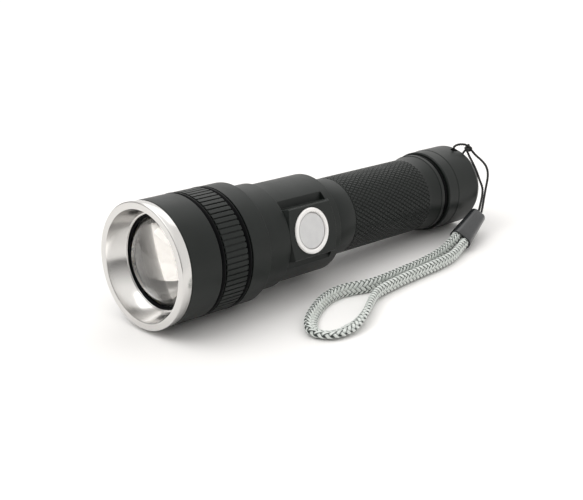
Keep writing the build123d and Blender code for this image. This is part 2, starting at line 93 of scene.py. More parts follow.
def smooth(piece, sharp):
    """Shade the piece smooth but for its edges sharper than sharp degrees."""
    piece.data.shade_smooth()
    piece.data.set_sharp_from_angle(angle=radians(sharp))


def fix_normals(piece):
    """Merge doubled points and turn every face outwards."""
    work = bmesh.new()
    work.from_mesh(piece.data)
    bmesh.ops.remove_doubles(work, verts=work.verts, dist=1e-7)
    bmesh.ops.dissolve_degenerate(work, edges=work.edges, dist=1e-8)
    bmesh.ops.recalc_face_normals(work, faces=work.faces)
    work.to_mesh(piece.data)
    work.free()


def lathe(name, outline, material, segments, sharp, closed=True):
    """An outline of (station, radius) points in mm, turned about the torch's axis."""
    vertices = []
    for turn in range(segments):
        angle = 2 * pi * turn / segments
        vertices += [at(station, radius, angle) for station, radius in outline]
    count = len(outline)
    faces = []
    for turn in range(segments):
        here = turn * count
        there = (turn + 1) % segments * count
        for step in range(count if closed else count - 1):
            after = (step + 1) % count
            faces.append((here + step, there + step, there + after, here + after))
    piece = add_mesh(name, vertices, faces, material)
    fix_normals(piece)
    smooth(piece, sharp)
    return piece


def stand_in(piece, node, body):
    """The piece is shown in place of a CAD node, on the same body."""
    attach(piece, body)
    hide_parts(node)
    return piece


# ------------------------------------------------------------------ camera
CAMERA_PLACE = Vector((0.24963, -0.25800, 0.13832))
CAMERA_AIM = Vector((0.0, -0.01048, 0.00939))
CAMERA_LENS = 71.39
CAMERA_ROLL = radians(-0.28)


def make_camera():
    data = bpy.data.cameras.new("camera")
    data.lens = CAMERA_LENS
    data.sensor_width = 36.0
    data.clip_start = 0.01
    camera = add_object("camera", data)
    aim_from(camera, CAMERA_PLACE, CAMERA_AIM)
    camera.rotation_quaternion = camera.rotation_quaternion @ Quaternion((0, 0, 1), CAMERA_ROLL)
    bpy.context.scene.camera = camera


# ------------------------------------------------------------------ shader nodes
def start_material(name, colour, roughness, metallic=0.0):
    """A new material, its node tree and its Principled shader."""
    material = bpy.data.materials.new(name)
    material.use_nodes = True
    shader = material.node_tree.nodes["Principled BSDF"]
    shader.inputs["Base Color"].default_value = (*colour, 1)
    shader.inputs["Roughness"].default_value = roughness
    shader.inputs["Metallic"].default_value = metallic
    return material, material.node_tree, shader


def calculate(tree, operation, first, second=None):
    """A Math node's result. The second value is a socket, a number or nothing."""
    node = tree.nodes.new("ShaderNodeMath")
    node.operation = operation
    tree.links.new(first, node.inputs[0])
    if isinstance(second, float):
        node.inputs[1].default_value = second
    elif second is not None:
        tree.links.new(second, node.inputs[1])
    return node.outputs["Value"]


def separate(tree, vector):
    """The X, Y and Z sockets of a vector socket."""
    split = tree.nodes.new("ShaderNodeSeparateXYZ")
    tree.links.new(vector, split.inputs["Vector"])
    return split.outputs


def noise(tree, scale, detail=3.0, coordinates=None):
    """Noise with features about 1/scale metres across."""
    texture = tree.nodes.new("ShaderNodeTexNoise")
    texture.inputs["Scale"].default_value = scale
    texture.inputs["Detail"].default_value = detail
    texture.inputs["Roughness"].default_value = 0.6
    if coordinates is None:
        coordinates = tree.nodes.new("ShaderNodeTexCoord").outputs["Object"]
    tree.links.new(coordinates, texture.inputs["Vector"])
    return texture.outputs["Fac"]


def spread(tree, value, low, high, start=0.3, end=0.7):
    """Low where the value is start or less, high where it is end or more, and even between."""
    change = tree.nodes.new("ShaderNodeMapRange")
    change.inputs["From Min"].default_value = start
    change.inputs["From Max"].default_value = end
    change.inputs["To Min"].default_value = low
    change.inputs["To Max"].default_value = high
    tree.links.new(value, change.inputs["Value"])
    return change.outputs["Result"]


def colour_between(tree, value, low, high):
    """The low colour where the value is 0.3 or less, the high one where it is 0.7 or more."""
    ramp = tree.nodes.new("ShaderNodeValToRGB")
    ramp.color_ramp.elements[0].position = 0.3
    ramp.color_ramp.elements[0].color = (*low, 1)
    ramp.color_ramp.elements[1].position = 0.7
    ramp.color_ramp.elements[1].color = (*high, 1)
    tree.links.new(value, ramp.inputs["Fac"])
    return ramp.outputs["Color"]


def bump(tree, shader, height, strength, distance):
    """Relief on the shader's surface, up to distance metres high."""
    node = tree.nodes.new("ShaderNodeBump")
    node.inputs["Strength"].default_value = strength
    node.inputs["Distance"].default_value = distance
    tree.links.new(height, node.inputs["Height"])
    tree.links.new(node.outputs["Normal"], shader.inputs["Normal"])
    return node


def axis_coordinates(tree):
    """Coordinates in metres along the torch: x across, y the station, z to the top."""
    place = tree.nodes.new("ShaderNodeTexCoord")
    turn = tree.nodes.new("ShaderNodeMapping")
    shift = (0, -front_point.dot(to_tail), -front_point.dot(to_top))
    turn.inputs["Rotation"].default_value = (atan2(-to_tail.z, to_tail.y), 0, 0)
    turn.inputs["Location"].default_value = shift
    tree.links.new(place.outputs["Object"], turn.inputs["Vector"])
    return turn.outputs["Vector"]


def turning_marks(tree, marks_per_metre):
    """Noise that only changes with station and radius, as a lathe tool leaves it."""
    along = separate(tree, axis_coordinates(tree))
    flat = tree.nodes.new("ShaderNodeCombineXYZ")
    tree.links.new(along["X"], flat.inputs["X"])
    tree.links.new(along["Z"], flat.inputs["Z"])
    radius = tree.nodes.new("ShaderNodeVectorMath")
    radius.operation = "LENGTH"
    tree.links.new(flat.outputs["Vector"], radius.inputs[0])
    texture = tree.nodes.new("ShaderNodeTexNoise")
    texture.noise_dimensions = "1D"
    texture.inputs["Scale"].default_value = marks_per_metre
    texture.inputs["Detail"].default_value = 4.0
    tool_path = calculate(tree, "SUBTRACT", along["Y"], radius.outputs["Value"])
    tree.links.new(tool_path, texture.inputs["W"])
    return texture.outputs["Fac"]


# ------------------------------------------------------------------ materials
def anodised_black():
    """Satin black with a fine grain, and edges rounded enough to catch the light."""
    material, tree, shader = start_material("anodised_black", (0.010, 0.0115, 0.0108), 0.4)
    shader.inputs["Specular IOR Level"].default_value = 0.25
    fine = noise(tree, 9000.0, 2.0)
    cloud = noise(tree, 120.0, 4.0)
    tree.links.new(spread(tree, cloud, 0.36, 0.46), shader.inputs["Roughness"])
    colour = colour_between(tree, cloud, (0.0075, 0.0100, 0.0088), (0.0110, 0.0138, 0.0124))
    tree.links.new(colour, shader.inputs["Base Color"])
    grain = bump(tree, shader, fine, 0.12, 0.00004)
    edges = tree.nodes.new("ShaderNodeBevel")
    edges.samples = 4
    edges.inputs["Radius"].default_value = 0.00025
    tree.links.new(edges.outputs["Normal"], grain.inputs["Normal"])
    return material


def turned_aluminium():
    material, tree, shader = start_material("turned_aluminium", (0.66, 0.65, 0.635), 0.2, 1.0)
    shader.inputs["Anisotropic"].default_value = 0.5
    tangent = tree.nodes.new("ShaderNodeTangent")
    tangent.direction_type = "RADIAL"
    tangent.axis = "Y"
    tree.links.new(tangent.outputs["Tangent"], shader.inputs["Tangent"])
    marks = turning_marks(tree, 5000.0)
    tree.links.new(spread(tree, marks, 0.13, 0.22), shader.inputs["Roughness"])
    bump(tree, shader, marks, 0.08, 0.00003)
    return material


def rubber_black():
    material, tree, shader = start_material("rubber_black", (0.0025, 0.0026, 0.003), 0.3)
    shader.inputs["Specular IOR Level"].default_value = 0.04
    tree.links.new(spread(tree, noise(tree, 900.0), 0.24, 0.38), shader.inputs["Roughness"])
    bump(tree, shader, noise(tree, 6000.0), 0.1, 0.00004)
    return material


def clear_lens():
    # painted reflection: the clear glass is tinted warm to give the tan that the lens shows from the light around
    # it
    material, tree, shader = start_material("clear_lens", (0.985, 0.96, 0.92), 0.0)
    shader.inputs["Transmission Weight"].default_value = 0.94
    shader.inputs["IOR"].default_value = 1.49
    tree.links.new(spread(tree, noise(tree, 400.0), 0.0, 0.012), shader.inputs["Roughness"])
    return material


def braid_yarn():
    """Pale fibres with painted shade: darker where a yarn dips under its neighbours and on its inner side."""
    material, tree, shader = start_material("braid_yarn", (0.5, 0.55, 0.52), 0.5)
    shader.inputs["Sheen Weight"].default_value = 0.35
    shader.inputs["Sheen Roughness"].default_value = 0.4
    uv = tree.nodes.new("ShaderNodeTexCoord").outputs["UV"]
    stretch = tree.nodes.new("ShaderNodeMapping")
    stretch.inputs["Scale"].default_value = (0.35, 9.0, 1.0)
    tree.links.new(uv, stretch.inputs["Vector"])
    fibres = noise(tree, 1.0, 2.0, stretch.outputs["Vector"])
    yarn = colour_between(tree, fibres, (0.50, 0.54, 0.51), (0.80, 0.83, 0.80))
    # painted shade on the yarn's edges and inner side: only its outward crown stays pale
    way_round = calculate(tree, "MULTIPLY", separate(tree, uv)["Y"], 2 * pi)
    unshaded_outer_side = spread(tree, calculate(tree, "SINE", way_round), 0.0, 1.0, 0.2, 0.75)
    # painted shade where a yarn dips under its neighbours
    dive = tree.nodes.new("ShaderNodeAttribute")
    dive.attribute_name = "dive"
    unshaded_where_raised = spread(tree, dive.outputs["Fac"], 1.0, 0.1, 0.2, 0.65)
    shade = tree.nodes.new("ShaderNodeMix")
    shade.data_type = "RGBA"
    # the dark colour of the painted shade
    shade.inputs["A"].default_value = (0.03, 0.042, 0.036, 1)
    tree.links.new(yarn, shade.inputs["B"])
    tree.links.new(calculate(tree, "MULTIPLY", unshaded_outer_side, unshaded_where_raised), shade.inputs["Factor"])
    tree.links.new(shade.outputs["Result"], shader.inputs["Base Color"])
    bump(tree, shader, fibres, 0.6, 0.00012)
    return material


def plain(name, low, high, roughness, metallic=0.0, grain_scale=2500.0, grain=0.1):
    """A plain finish with a little variation in colour, gloss and surface."""
    material, tree, shader = start_material(name, high, roughness, metallic)
    cloud = noise(tree, 300.0, 4.0)
    gloss = spread(tree, cloud, roughness * 0.85, roughness * 1.15)
    tree.links.new(colour_between(tree, cloud, low, high), shader.inputs["Base Color"])
    tree.links.new(gloss, shader.inputs["Roughness"])
    bump(tree, shader, noise(tree, grain_scale), grain, 0.00005)
    return material


# the finish of each material slot in the record
MATERIALS = {
    "anodised_black": anodised_black(),
    "bezel_metal": turned_aluminium(),
    "rubber_black": rubber_black(),
    "lens_glass": clear_lens(),
    "switch_metal": plain("switch_metal", (0.88, 0.865, 0.85), (0.93, 0.915, 0.90), 0.3, 0.2),
    "button_plastic": plain("button_plastic", (0.63, 0.63, 0.635), (0.69, 0.69, 0.69), 0.35),
    "braid_grey": braid_yarn(),
    "string_black": plain("string_black", (0.006, 0.006, 0.006), (0.014, 0.014, 0.014), 0.45,
                          grain_scale=7000.0, grain=0.4),
    "sleeve_plastic": plain("sleeve_plastic", (0.011, 0.0125, 0.014), (0.015, 0.017, 0.019), 0.24),
    "spring_steel": plain("spring_steel", (0.55, 0.55, 0.54), (0.66, 0.66, 0.65), 0.25, 1.0),
    "pill_brass": plain("pill_brass", (0.55, 0.42, 0.22), (0.66, 0.52, 0.30), 0.3, 1.0),
    "board_white": plain("board_white", (0.66, 0.60, 0.50), (0.74, 0.68, 0.58), 0.45),
    "emitter": plain("emitter", (0.80, 0.68, 0.10), (0.88, 0.76, 0.18), 0.25),
    "guide_plastic": plain("guide_plastic", (0.68, 0.60, 0.48), (0.76, 0.68, 0.56), 0.4),
    "board_green": plain("board_green", (0.015, 0.10, 0.04), (0.02, 0.14, 0.06), 0.4),
    "lead_sheath": plain("lead_sheath", (0.30, 0.02, 0.015), (0.40, 0.03, 0.02), 0.4),
    "cell_wrap": plain("cell_wrap", (0.02, 0.10, 0.28), (0.03, 0.14, 0.36), 0.25),
}
# the core is real, but its near-black colour is painted shade for the gaps between the yarns
BRAID_CORE_PAINTED_SHADE = plain("braid_core_painted_shade", (0.02, 0.028, 0.024), (0.035, 0.045, 0.04), 0.8)


def finish_cad_nodes():
    """Each CAD node comes with a material named after its slot, and gets that slot's finish."""
    for node in frame["nodes"].values():
        for place in node.material_slots:
            slot_name = place.material.name.split(".")[0]
            place.material = MATERIALS[slot_name]


# ------------------------------------------------------------------ cords: their lines
STRING_ROUTE = [
    (17.65, 64.19, 7.35), (17.3, 66.9, 8.0), (16.9, 67.9, 9.0), (16.2, 69.6, 11.0),
    (15.3, 71.5, 13.0), (14.2, 73.0, 15.2), (12.5, 73.3, 17.5), (10.9, 73.3, 20.7),
    (8.9, 73.4, 23.5), (7.1, 73.5, 25.6), (6.1, 73.6, 27.2), (5.2, 73.9, 27.6), (3.9, 74.3, 26.2),
    (3.0, 73.6, 24.5), (2.7, 72.5, 23.9), (3.6, 68.5, 28.6), (3.9, 68.8, 29.6), (4.7, 70.2, 30.1),
    (5.9, 71.6, 30.1), (6.6, 72.8, 29.5), (7.2, 73.9, 28.2), (9.3, 74.4, 26.1), (11.6, 74.7, 24.8),
    (13.7, 74.8, 23.2), (14.8, 74.7, 21.2), (15.1, 74.5, 19.1), (15.1, 74.1, 16.9),
    (15.4, 73.2, 15.2), (15.9, 72.0, 13.0), (16.7, 70.4, 11.0), (17.6, 68.6, 8.9),
    (18.2, 67.2, 7.4), (18.69, 64.69, 6.56),
]
STRAP_ROUTE = [
    (22.05, 48.75, 5.41), (24.0, 43.15, 4.45), (25.2, 37.0, 3.0), (26.1, 29.5, 2.4),
    (26.9, 21.0, 2.35), (27.0, 12.5, 2.35), (27.3, 4.5, 2.35), (26.9, -3.2, 2.35),
    (24.6, -8.2, 2.3), (23.3, -14.0, 2.3), (24.9, -21.6, 2.3), (28.6, -29.0, 2.2),
    (33.0, -35.8, 1.8), (38.0, -39.6, 1.35), (42.9, -36.9, 1.25), (44.0, -31.0, 1.5),
    (42.6, -24.6, 2.1), (38.9, -17.0, 2.3), (35.2, -11.0, 2.3), (32.4, -5.6, 2.35),
    (31.6, 0.8, 2.35), (31.0, 8.4, 2.35), (30.7, 17.0, 2.35), (30.6, 26.0, 2.35),
    (30.0, 33.5, 2.4), (28.8, 38.9, 2.5), (26.59, 44.39, 2.7), (24.65, 49.99, 3.43),
]


def route_curve(route):
    """A bare NURBS curve with the route's points, given in mm, as its control points."""
    data = bpy.data.curves.new("route", "CURVE")
    data.dimensions = "3D"
    data.resolution_u = 16
    spline = data.splines.new("NURBS")
    spline.points.add(len(route) - 1)
    for point, place in zip(spline.points, route):
        point.co = (*(Vector(place) * MM), 1)
    spline.order_u = 3
    spline.use_endpoint_u = True
    return add_object("route", data)


def unit(vectors):
    """The vectors, one a row, each made one long."""
    return vectors / np.linalg.norm(vectors, axis=1)[:, None]


def way_along(points):
    """How far along its line each point lies."""
    return np.concatenate([[0], np.cumsum(np.linalg.norm(np.diff(points, axis=0), axis=1))])


def read_line(route, step):
    """Evenly spaced points, about step mm apart, along the route's NURBS line, and how far
    along it each one lies, in metres."""
    curve = route_curve(route)
    bpy.context.view_layer.update()
    mesh = bpy.data.meshes.new_from_object(curve)
    raw = np.array([vertex.co for vertex in mesh.vertices])
    bpy.data.meshes.remove(mesh)
    bpy.data.objects.remove(curve)
    along = way_along(raw)
    count = round(along[-1] / (step * MM))
    marks = np.linspace(0, along[-1], count + 1)
    return np.stack([np.interp(marks, along, raw[:, k]) for k in range(3)], 1), marks


def line_frames(points):
    """Tangent, up and side at each point: up leans as little as it can from the last one."""
    tangents = unit(np.gradient(points, axis=0))
    ups = []
    up = np.array([0.0, 0.0, 1.0])
    for tangent in tangents:
        up = up - tangent * (up @ tangent)
        up /= np.linalg.norm(up)
        ups.append(up)
    ups = np.array(ups)
    return tangents, ups, np.cross(tangents, ups)


def upright_frames(points):
    """Tangent, up and side at each point, with up as near to +Z as it can be."""
    tangents = unit(np.gradient(points, axis=0))
    ups = unit(np.array([0.0, 0.0, 1.0]) - tangents * tangents[:, 2:3])
    return tangents, ups, np.cross(tangents, ups)


class TubeMesh:
    """Gathers tubes of round or oval section into one mesh."""

    def __init__(self):
        self.vertices, self.faces, self.uvs, self.slots, self.dives = [], [], [], [], []
        self.count = 0

    def add(self, centres, wide, high, half_width, half_height, sides, slot=0, closed=False,
            dive=0.0):
        """A tube through centres, with its section's axes wide and high, all in metres. The
        dive, from 0 to 1, says how far it has sunk below its neighbours."""
        angles = np.arange(sides) * 2 * pi / sides
        half_width = np.broadcast_to(half_width, len(centres))[:, None, None]
        half_height = np.broadcast_to(half_height, len(centres))[:, None, None]
        ring = (wide[:, None, :] * half_width * np.cos(angles)[None, :, None]
                + high[:, None, :] * half_height * np.sin(angles)[None, :, None])
        points = centres[:, None, :] + ring
        self.vertices.append(points.reshape(-1, 3))
        self.dives.append(np.repeat(np.broadcast_to(dive, len(centres)), sides))
        rows = len(centres)
        row = np.arange(rows if closed else rows - 1)[:, None]
        side = np.arange(sides)[None, :]
        after_row = (row + 1) % rows
        after_side = (side + 1) % sides
        quads = np.stack([row * sides + side, row * sides + after_side,
                          after_row * sides + after_side, after_row * sides + side], -1)
        self.faces += (quads.reshape(-1, 4) + self.count).tolist()
        lengths = way_along(centres)
        along = np.append(lengths, lengths[-1])
        u = np.stack([along[row] + 0 * side, along[row] + 0 * side,
                      along[row + 1] + 0 * side, along[row + 1] + 0 * side], -1) / MM
        v = np.stack([side + 0 * row, side + 1 + 0 * row,
                      side + 1 + 0 * row, side + 0 * row], -1) / sides
        self.uvs.append(np.stack([u, v], -1).reshape(-1, 2))
        self.slots += [slot] * quads.shape[0] * quads.shape[1]
        if not closed:
            first_cap = [self.count + k for k in reversed(range(sides))]
            last_cap = [self.count + (rows - 1) * sides + k for k in range(sides)]
            for cap in (first_cap, last_cap):
                self.faces.append(cap)
                self.uvs.append(np.zeros((sides, 2)))
                self.slots.append(slot)
        self.count += rows * sides

    def build(self, name, materials):
        mesh = bpy.data.meshes.new(name)
        mesh.from_pydata(np.concatenate(self.vertices).tolist(), [], self.faces)
        layer = mesh.uv_layers.new(name="along")
        layer.data.foreach_set("uv", np.concatenate(self.uvs).astype(np.float32).ravel())
        dive = mesh.attributes.new("dive", "FLOAT", "POINT")
        dive.data.foreach_set("value", np.concatenate(self.dives).astype(np.float32))
        for material in materials:
            mesh.materials.append(material)
        mesh.polygons.foreach_set("material_index", self.slots)
        mesh.shade_smooth()
        mesh.update()
        return add_object(name, mesh)


# ------------------------------------------------------------------ strap
# Six yarns wind each way round a core, two over and two under, so they lie in columns of Vs.
STRAP_WIDTH = 4.6
STRAP_THICKNESS = 2.3
STRAP_END = 3.4              # width and thickness where the strap enters the sleeve
STRAP_END_LENGTH = 7.0
STRAP_LYING = [(0, 0), (0.33, 0), (0.42, 25), (0.50, 80), (0.56, 80), (0.64, 10), (1, 0)]
STRAP_STEP = 0.3
BRAID_YARNS = 6
BRAID_PITCH = 1.75
BRAID_LIFT = 0.29
BRAID_SNAP = 1.2             # the higher, the more suddenly a yarn dips
YARN_WIDTH = 1.12
YARN_THICKNESS = 0.6
OVAL_POWER = 2.4             # 2 is an ellipse, and more is squarer


def strap_section(marks):
    """Half width, half height and roll of the strap's section along its length: it stands on
    edge, lies down round the loop's tip, and is rounder where it enters the sleeve."""
    near_end = np.clip(np.minimum(marks, marks[-1] - marks) / (STRAP_END_LENGTH * MM), 0, 1)
    flatness = near_end * near_end * (3 - 2 * near_end)
    width = STRAP_END + (STRAP_WIDTH - STRAP_END) * flatness
    thickness = STRAP_END + (STRAP_THICKNESS - STRAP_END) * flatness
    shares, rolls = zip(*STRAP_LYING)
    lying = np.interp(marks / marks[-1], shares, rolls)
    return width / 2 * MM, thickness / 2 * MM, np.radians(lying)


def oval_table():
    """Points round an oval of half width and height 1, and the share of the way round the
    strap at which each one lies."""
    angle = np.linspace(0, 2 * pi, 721)
    x = np.sign(np.cos(angle)) * np.abs(np.cos(angle)) ** (2 / OVAL_POWER)
    y = np.sign(np.sin(angle)) * np.abs(np.sin(angle)) ** (2 / OVAL_POWER)
    way = way_along(np.stack([x * STRAP_WIDTH / 2, y * STRAP_THICKNESS / 2], 1))
    return x, y, way / way[-1]


def make_strap():
    line, marks = read_line(STRAP_ROUTE, STRAP_STEP)
    tangents, ups, sides = upright_frames(line)
    half_width, half_height, lying = strap_section(marks)
    wide = ups * np.cos(lying)[:, None] + sides * np.sin(lying)[:, None]
    high = np.cross(tangents, wide)
    inset = (BRAID_LIFT + YARN_THICKNESS / 2) * MM
    mid_width = half_width - inset
    mid_height = half_height - inset
    build = TubeMesh()
    build.add(line, wide, high, mid_width, mid_height, 20, slot=1)
    oval_x, oval_y, way = oval_table()
    turn_length = BRAID_YARNS * BRAID_PITCH * MM
    for direction in (1, -1):
        for yarn in range(BRAID_YARNS):
            share = (direction * marks / turn_length + yarn / BRAID_YARNS) % 1.0
            x = np.interp(share, way, oval_x)
            y = np.interp(share, way, oval_y)
            outward = unit(wide * (x / mid_width)[:, None] + high * (y / mid_height)[:, None])
            crossings = share * 2 * BRAID_YARNS
            wave = np.cos(2 * pi * (crossings - 0.5) / 4)
            rise = direction * np.tanh(BRAID_SNAP * wave) / tanh(BRAID_SNAP)
            centres = (line + wide * (x * mid_width)[:, None] + high * (y * mid_height)[:, None]
                       + outward * (rise * BRAID_LIFT * MM)[:, None])
            ahead = unit(np.gradient(centres, axis=0))
            flat = unit(np.cross(ahead, outward))
            build.add(centres, flat, np.cross(flat, ahead), YARN_WIDTH / 2 * MM,
                      YARN_THICKNESS / 2 * MM, 8, dive=0.5 - rise / 2)
    strap = build.build("braided_strap", [MATERIALS["braid_grey"], BRAID_CORE_PAINTED_SHADE])
    stand_in(strap, "strap", "tail")


# ------------------------------------------------------------------ string and knot
STRING_DIAMETER = 0.9
STRING_STEP = 0.15
STRING_PLIES = 3
PLY_RADIUS = 0.235
PLY_PITCH = 2.4
KNOT_SHIFT = (0.15, -1.6, 0.5)   # from the middle of the CAD knot
KNOT_SIZE = 0.36
KNOT_RADIUS = 0.45
KNOT_TILT = radians(20)
KNOT_TURN = radians(60)


def make_string():
    line, marks = read_line(STRING_ROUTE, STRING_STEP)
    tangents, ups, sides = line_frames(line)
    build = TubeMesh()
    for ply in range(STRING_PLIES):
        angle = 2 * pi * (marks / (PLY_PITCH * MM) + ply / STRING_PLIES)
        outward = ups * np.cos(angle)[:, None] + sides * np.sin(angle)[:, None]
        centres = line + outward * (STRING_DIAMETER / 2 - PLY_RADIUS) * MM
        build.add(centres, outward, np.cross(tangents, outward), PLY_RADIUS * MM,
                  PLY_RADIUS * MM, 8)
    string = build.build("twisted_string", [MATERIALS["string_black"]])
    return stand_in(string, "string", "tail"), line, marks


def make_knot():
    """A small overhand knot: a closed trefoil of the string's own thickness."""
    low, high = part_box("string_knot")
    centre = np.array((low + high) / 2) + np.array(KNOT_SHIFT) * MM
    turn = np.linspace(0, 2 * pi, 96, endpoint=False)
    trefoil = np.stack([np.sin(turn) + 2 * np.sin(2 * turn), np.cos(turn) - 2 * np.cos(2 * turn),
                        -1.3 * np.sin(3 * turn)], 1) * KNOT_SIZE * MM
    pull = Matrix.Rotation(KNOT_TURN, 3, (0, 1, 0)) @ Matrix.Rotation(KNOT_TILT, 3, (1, 0, 0))
    points = centre + trefoil @ np.array(pull).T
    tangents = unit(np.roll(points, -1, 0) - np.roll(points, 1, 0))
    side = unit(np.cross(tangents, (0, 0, 1.0)))
    build = TubeMesh()
    build.add(points, side, np.cross(side, tangents), KNOT_RADIUS * MM, KNOT_RADIUS * MM, 12,
              closed=True)
    knot = build.build("knotted_string", [MATERIALS["string_black"]])
    return stand_in(knot, "string_knot", "tail")


# ------------------------------------------------------------------ sleeve
SLEEVE_MOUTH = Vector((24.0, 47.5, 4.1))
SLEEVE_TOP = Vector((17.5, 66.3, 7.3))
SLEEVE_MOUTH_SIZE = (8.0, 4.5)
SLEEVE_TOP_SIZE = (6.0, 3.6)
SLEEVE_ROLL = radians(35.0)
SLEEVE_WALL = 0.45
SLEEVE_POCKET = 2.0
SLEEVE_ROUND = 0.7
SLEEVE_SIDES = 64


def slot_section(width, height):
    """Points round a slot: straight sides and round ends."""
    points = []
    for step in range(SLEEVE_SIDES):
        angle = 2 * pi * (step + 0.5) / SLEEVE_SIDES
        shift = (width - height) / 2 * (1 if cos(angle) > 0 else -1)
        points.append((shift + height / 2 * cos(angle), height / 2 * sin(angle)))
    return points


def make_sleeve():
    """A flat tapered ferrule: a pocket at its mouth for the strap, and a rounded top."""
    length = (SLEEVE_TOP - SLEEVE_MOUTH).length
    way = (SLEEVE_TOP - SLEEVE_MOUTH).normalized()
    side = Vector((way.y, -way.x, 0)).normalized()
    lift = side.cross(way)
    wide = side * cos(SLEEVE_ROLL) - lift * sin(SLEEVE_ROLL)
    high = way.cross(wide)
    # each ring is (distance from the mouth, how far it lies inside the outer surface), from
    # the pocket's floor out round the lip and up the outside
    rings = [(SLEEVE_POCKET, 0.95), (SLEEVE_POCKET, SLEEVE_WALL), (0.15, SLEEVE_WALL),
             (0.0, SLEEVE_WALL - 0.12), (0.0, 0.12), (0.12, 0.02), (0.3, 0.0)]
    rings += [(length * share, 0.0) for share in (0.2, 0.4, 0.6, 0.8)]
    for step in range(7):
        angle = pi / 2 * step / 6
        rings.append((length - SLEEVE_ROUND * (1 - sin(angle)), SLEEVE_ROUND * (1 - cos(angle))))
    rings.append((length, 1.3))
    vertices = []
    for height, inset in rings:
        share = min(max(height / length, 0), 1)
        width, thick = (a + (b - a) * share for a, b in zip(SLEEVE_MOUTH_SIZE, SLEEVE_TOP_SIZE))
        for x, y in slot_section(width - 2 * inset, thick - 2 * inset):
            vertices.append((SLEEVE_MOUTH + way * height + wide * x + high * y) * MM)
    faces = []
    for ring in range(len(rings) - 1):
        here = ring * SLEEVE_SIDES
        there = here + SLEEVE_SIDES
        for step in range(SLEEVE_SIDES):
            after = (step + 1) % SLEEVE_SIDES
            faces.append((here + step, here + after, there + after, there + step))
    faces.append([(len(rings) - 1) * SLEEVE_SIDES + step for step in range(SLEEVE_SIDES)])
    faces.append(list(reversed(range(SLEEVE_SIDES))))
    sleeve = add_mesh("strap_sleeve", vertices, faces, MATERIALS["sleeve_plastic"])
    fix_normals(sleeve)
    smooth(sleeve, 40)
    return stand_in(sleeve, "sleeve", "tail")


def make_lanyard():
    """The strap, and the string that carries the knot and the sleeve."""
    make_strap()
    string, line, marks = make_string()
    knot = make_knot()
    sleeve = make_sleeve()


# ------------------------------------------------------------------ battery tube with its knurl
# stations, front to back
SPIGOT_START = 61.6
COLLAR_START = 67.9
GRIP_START = 78.0
GRIP_END = 116.0
FLARE_START = 117.6
FLARE_END = 121.8
RING_END = 123.4
SEAL_END = 125.25
TUBE_END = 133.95
# radii
BORE = 9.6
SPIGOT = 11.4
COLLAR = 12.75
GRIP = 12.6
FLARE = 13.3
REAR_RING = 13.5
SEAL_FLOOR = 11.6
TAIL_SPIGOT = 12.2
COLLAR_SOFTNESS = 0.35
RING_SOFTNESS = 0.1

KNURL_STARTS = 53
KNURL_PITCH = 2.45
KNURL_DEPTH = 0.3
KNURL_CREST = 12.78
KNURL_FLOOR = KNURL_CREST - KNURL_DEPTH
KNURL_EDGE = 0.2             # the share of a diamond's side that its sloping edge takes


def knurl_mesh():
    """Vertices and faces of diamonds between two sets of slanting V grooves."""
    breaks = (0.0, KNURL_EDGE, 1 - KNURL_EDGE, 1.0)
    vertices, faces = [], []
    lookup = {}

    def vertex(u, v):
        """The vertex u grooves along one slant and v along the other, made only once."""
        station = GRIP_START + KNURL_PITCH * (u + v) / 2
        turn = (u - v) / 2 / KNURL_STARTS % 1.0
        key = (round(station * 1e4), round(turn * 1e7) % 10000000)
        if key not in lookup:
            on_crest = all(abs(way - round(way)) > 1e-6 for way in (u, v))
            lookup[key] = len(vertices)
            vertices.append(at(station, KNURL_CREST if on_crest else KNURL_FLOOR, 2 * pi * turn))
        return lookup[key]

    last = int((GRIP_END - GRIP_START) / KNURL_PITCH) + 2
    for total in range(-2, 2 * last):
        for gap in range(total % 2, 2 * KNURL_STARTS, 2):
            i = (total + gap) // 2
            j = (total - gap) // 2
            for a, b in zip(breaks, breaks[1:]):
                for c, d in zip(breaks, breaks[1:]):
                    corners = ((a, c), (b, c), (b, d), (a, d))
                    face = [vertex(i + p, j + q) for p, q in corners]
                    if len(set(face)) == 4:
                        faces.append(face)
    return vertices, faces


def make_knurl():
    """The knurl, cut off square at both ends of the grip."""
    vertices, faces = knurl_mesh()
    knurl = add_mesh("battery_tube_knurl", vertices, faces, MATERIALS["anodised_black"])
    work = bmesh.new()
    work.from_mesh(knurl.data)
    for station, clear_outer in ((GRIP_START, False), (GRIP_END, True)):
        bmesh.ops.bisect_plane(work, geom=work.verts[:] + work.edges[:] + work.faces[:],
                               plane_co=at(station), plane_no=to_tail,
                               clear_outer=clear_outer, clear_inner=not clear_outer)
    bmesh.ops.recalc_face_normals(work, faces=work.faces)
    work.to_mesh(knurl.data)
    work.free()
    smooth(knurl, 20)
    stand_in(knurl, "battery_tube", "body")


